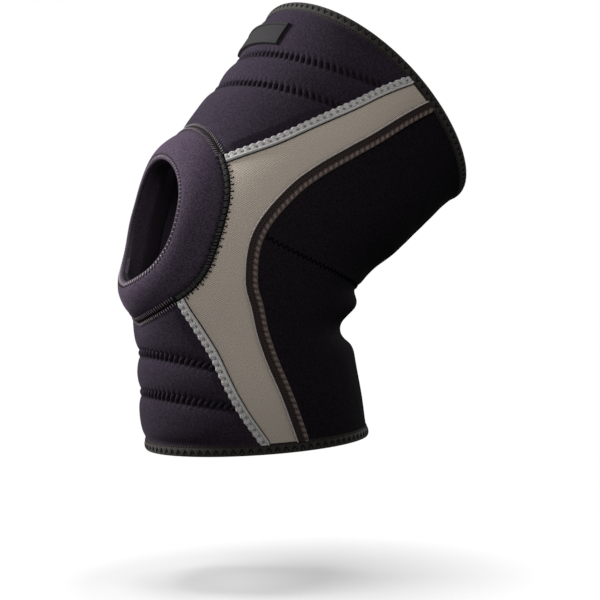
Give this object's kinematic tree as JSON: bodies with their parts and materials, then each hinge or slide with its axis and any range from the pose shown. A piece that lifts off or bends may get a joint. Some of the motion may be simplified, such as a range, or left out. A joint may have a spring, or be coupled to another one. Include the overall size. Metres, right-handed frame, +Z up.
{
  "type": "knee sleeve",
  "caption": "Open-patella neoprene knee support in its worn, bent form, with a padded ring round the knee cap, quilted front panels, twill side panels and taped seams.",
  "frame": {"origin": "centre of the knee inside the hollow, half way between the sides, level with the middle of the knee cap hole", "axes": "+Z up along the shin, -Y towards the knee cap, +X across the knee; the thigh leans from +Z towards +Y by 44 degrees"},
  "size_m": [0.1354, 0.19, 0.2369],
  "materials": {
    "front_neoprene": "purple-black napped knit over neoprene",
    "ring_neoprene": "purple-black napped knit over a foam pad",
    "back_neoprene": "plain black knit over neoprene",
    "side_twill": "taupe twill weave",
    "light_tape": "light grey knitted tape with a piped edge",
    "dark_tape": "brown-grey knitted tape with a ridge and a light edge",
    "hem_tape": "charcoal folded hem with a row of stitches",
    "label_rubber": "dark grey moulded rubber, satin"
  },
  "bodies": {
    "root": {"front_thigh_panel": "front_neoprene", "front_shin_panel": "front_neoprene", "patella_ring": "ring_neoprene", "back_thigh_panel": "back_neoprene", "back_shin_panel": "back_neoprene", "side_panel_right": "side_twill", "side_panel_left": "side_twill", "front_binding_upper_right": "light_tape", "front_binding_upper_left": "light_tape", "front_binding_lower_right": "light_tape", "front_binding_lower_left": "light_tape", "rear_binding_right": "dark_tape", "rear_binding_left": "dark_tape", "top_hem": "hem_tape", "bottom_hem": "hem_tape", "label": "label_rubber"}
  },
  "joints": []
}
